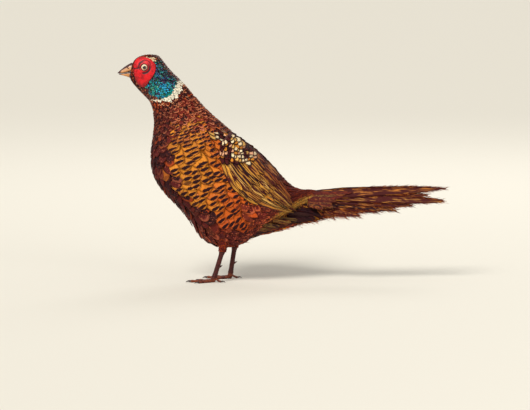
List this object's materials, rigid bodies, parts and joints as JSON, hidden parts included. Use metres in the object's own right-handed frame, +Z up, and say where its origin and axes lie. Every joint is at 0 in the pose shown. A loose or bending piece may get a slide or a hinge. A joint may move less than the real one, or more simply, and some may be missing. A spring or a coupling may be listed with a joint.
{
  "type": "common pheasant",
  "caption": "Life-size standing cock pheasant in profile, with ringed neck, red face, folded wings and a long tapering tail.",
  "frame": {"origin": "under the middle of the bounding box, on the surface that the feet stand on", "axes": "+Z up, bill towards -X, tail towards +X, the bird's left side towards -Y"},
  "size_m": [0.6554, 0.163, 0.453],
  "materials": {
    "head_plumage": "short dense plumage",
    "neck_plumage": "glossy plumage",
    "breast_plumage": "glossy plumage",
    "body_plumage": "soft plumage",
    "wing_plumage": "flight and covert feathers",
    "tail_plumage": "tail feathers",
    "eye": "wet gloss",
    "bill": "satin horn",
    "facial_skin": "matte papillate skin",
    "claw": "satin horn",
    "leg_scales": "scaly skin"
  },
  "bodies": {
    "root": {"head": "head_plumage", "eye_left": "eye", "eye_right": "eye", "bill_upper": "bill", "bill_lower": "bill", "wattle_left": "facial_skin", "wattle_right": "facial_skin", "neck_upper": "neck_plumage", "neck_lower": "breast_plumage", "torso": "body_plumage", "wing_left": "wing_plumage", "wing_right": "wing_plumage", "tail": "tail_plumage", "thigh_left": "breast_plumage", "shank_left": "leg_scales", "foot_left": "leg_scales", "claw_left_inner": "claw", "claw_left_middle": "claw", "claw_left_outer": "claw", "claw_left_hind": "claw", "thigh_right": "breast_plumage", "shank_right": "leg_scales", "foot_right": "leg_scales", "claw_right_inner": "claw", "claw_right_middle": "claw", "claw_right_outer": "claw", "claw_right_hind": "claw"}
  },
  "joints": []
}
